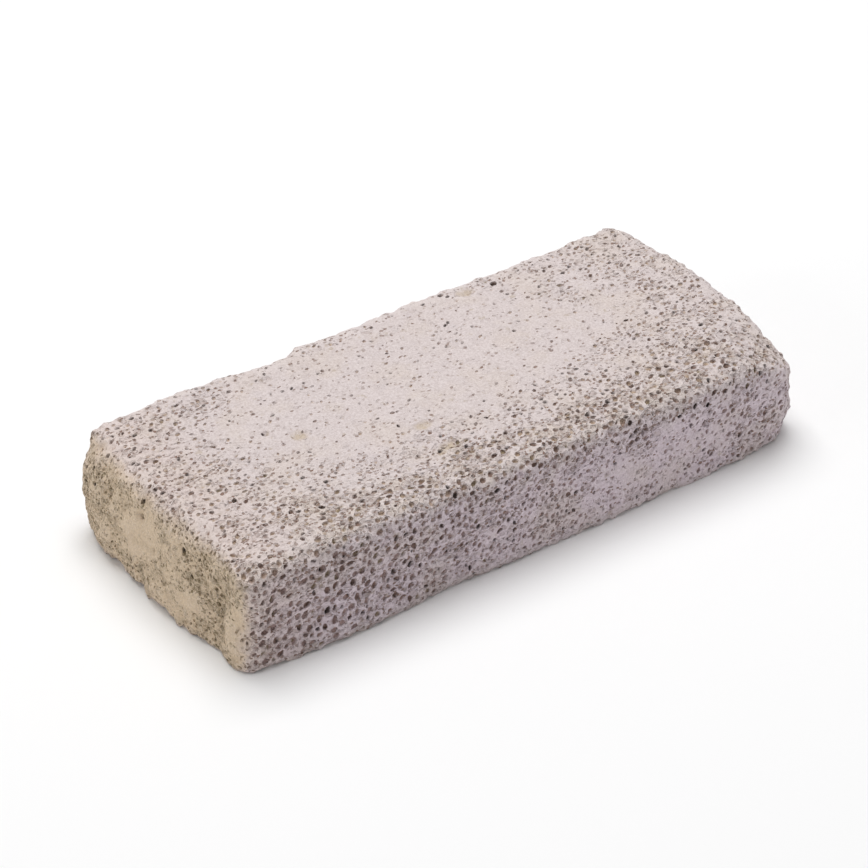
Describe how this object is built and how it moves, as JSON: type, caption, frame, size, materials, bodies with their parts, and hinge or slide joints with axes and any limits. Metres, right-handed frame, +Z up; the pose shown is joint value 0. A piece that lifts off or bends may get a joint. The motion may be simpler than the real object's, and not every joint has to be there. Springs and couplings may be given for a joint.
{
  "type": "pumice stone",
  "caption": "Hand-sized rubbing block of natural pumice: a long flat slab with worn edges, one broken end and a surface full of opened gas bubbles.",
  "frame": {"origin": "middle of the stone's box, on the flat underside", "axes": "+X along the length, from the broken end to the whole end; +Y across the width; +Z up, out of the top face"},
  "size_m": [0.1236, 0.0554, 0.0206],
  "materials": {
    "pumice": "matte, rough, porous"
  },
  "bodies": {
    "root": {"pumice_stone": "pumice"}
  },
  "joints": []
}
